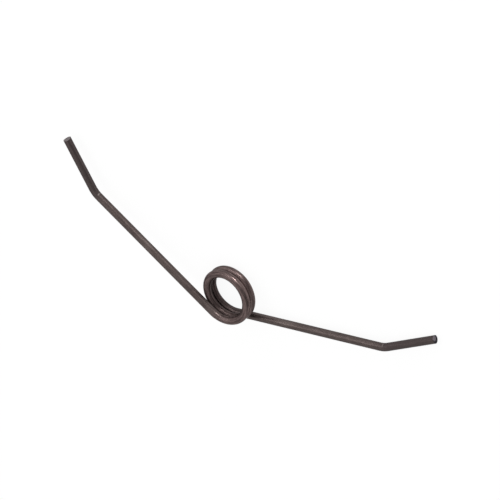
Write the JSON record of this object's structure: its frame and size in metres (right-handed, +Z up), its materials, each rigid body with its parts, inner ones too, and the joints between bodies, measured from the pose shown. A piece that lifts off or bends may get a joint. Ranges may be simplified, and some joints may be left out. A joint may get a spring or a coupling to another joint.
{
  "type": "torsion spring",
  "caption": "Double-arm torsion spring of round dark spring wire: close-wound coil and long straight legs opened wide, each bent inwards once near its sheared end.",
  "frame": {"origin": "middle of the footprint, on the surface that the spring lies on", "axes": "+Z up from that surface, with the coil's axis leaning 6 degrees from it as the spring comes to rest; +X along the span, from the upper leg's end to the lower leg's end; +Y the way the legs open"},
  "size_m": [0.1036, 0.0276, 0.0065],
  "materials": {
    "spring_wire": "oil-tempered spring steel, dark grey-brown with fine drawing lines, satin"
  },
  "bodies": {
    "root": {"torsion_spring": "spring_wire"}
  },
  "joints": []
}
